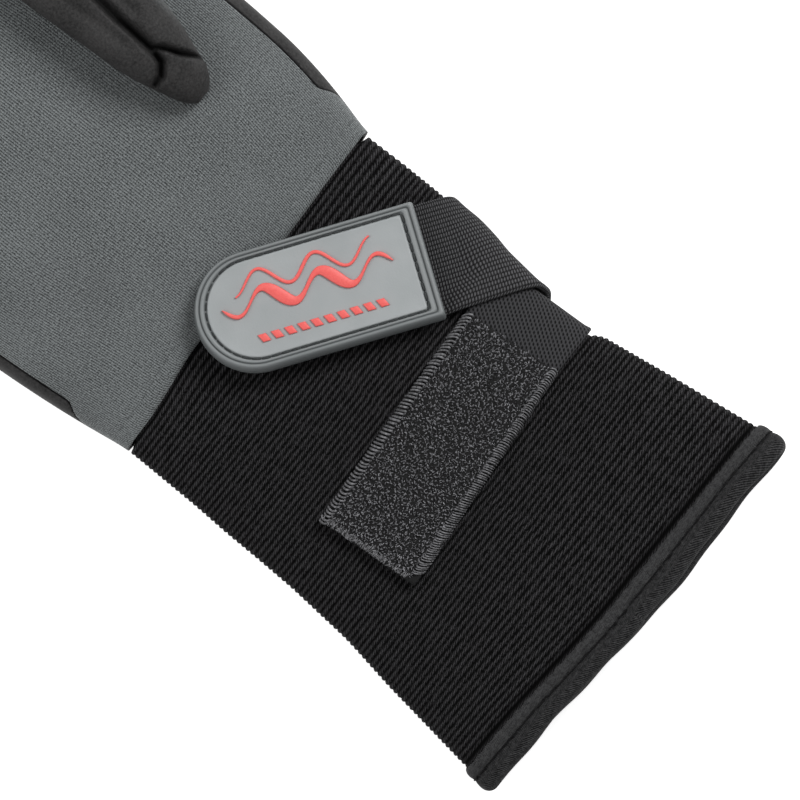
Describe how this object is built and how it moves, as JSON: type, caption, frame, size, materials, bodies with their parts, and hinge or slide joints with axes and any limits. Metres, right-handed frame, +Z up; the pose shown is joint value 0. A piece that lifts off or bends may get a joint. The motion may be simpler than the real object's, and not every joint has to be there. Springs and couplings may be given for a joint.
{
  "type": "fishing glove",
  "caption": "Long-cuffed glove lying palm up: grey hand shell, ribbed knit cuff with bound hem, and an elastic wrist strap with a moulded pull tab.",
  "frame": {"origin": "on the surface that the glove lies on, under the middle of the wrist seam", "axes": "+Z up, +Y to the fingertips, +X across to the thumb side"},
  "size_m": [0.1072, 0.2971, 0.0347],
  "materials": {
    "grey_jersey": "fine grey jersey over foamed rubber, matt",
    "dark_leather": "soft dark synthetic leather, slight sheen",
    "black_knit": "black ribbed knit, matt",
    "binding_tape": "black folded tape, topstitched",
    "elastic": "charcoal woven elastic webbing",
    "pile": "dark loop pile",
    "tab_rubber": "light grey moulded rubber, satin, with raised red ornament"
  },
  "bodies": {
    "root": {"palm_panel": "grey_jersey", "back_panel": "dark_leather", "thumb": "dark_leather", "cuff": "black_knit", "cuff_binding": "binding_tape", "loop_strap": "elastic", "loop_pad": "pile", "pull_strap": "elastic", "pull_tab": "tab_rubber", "hook_pad": "pile"}
  },
  "joints": []
}
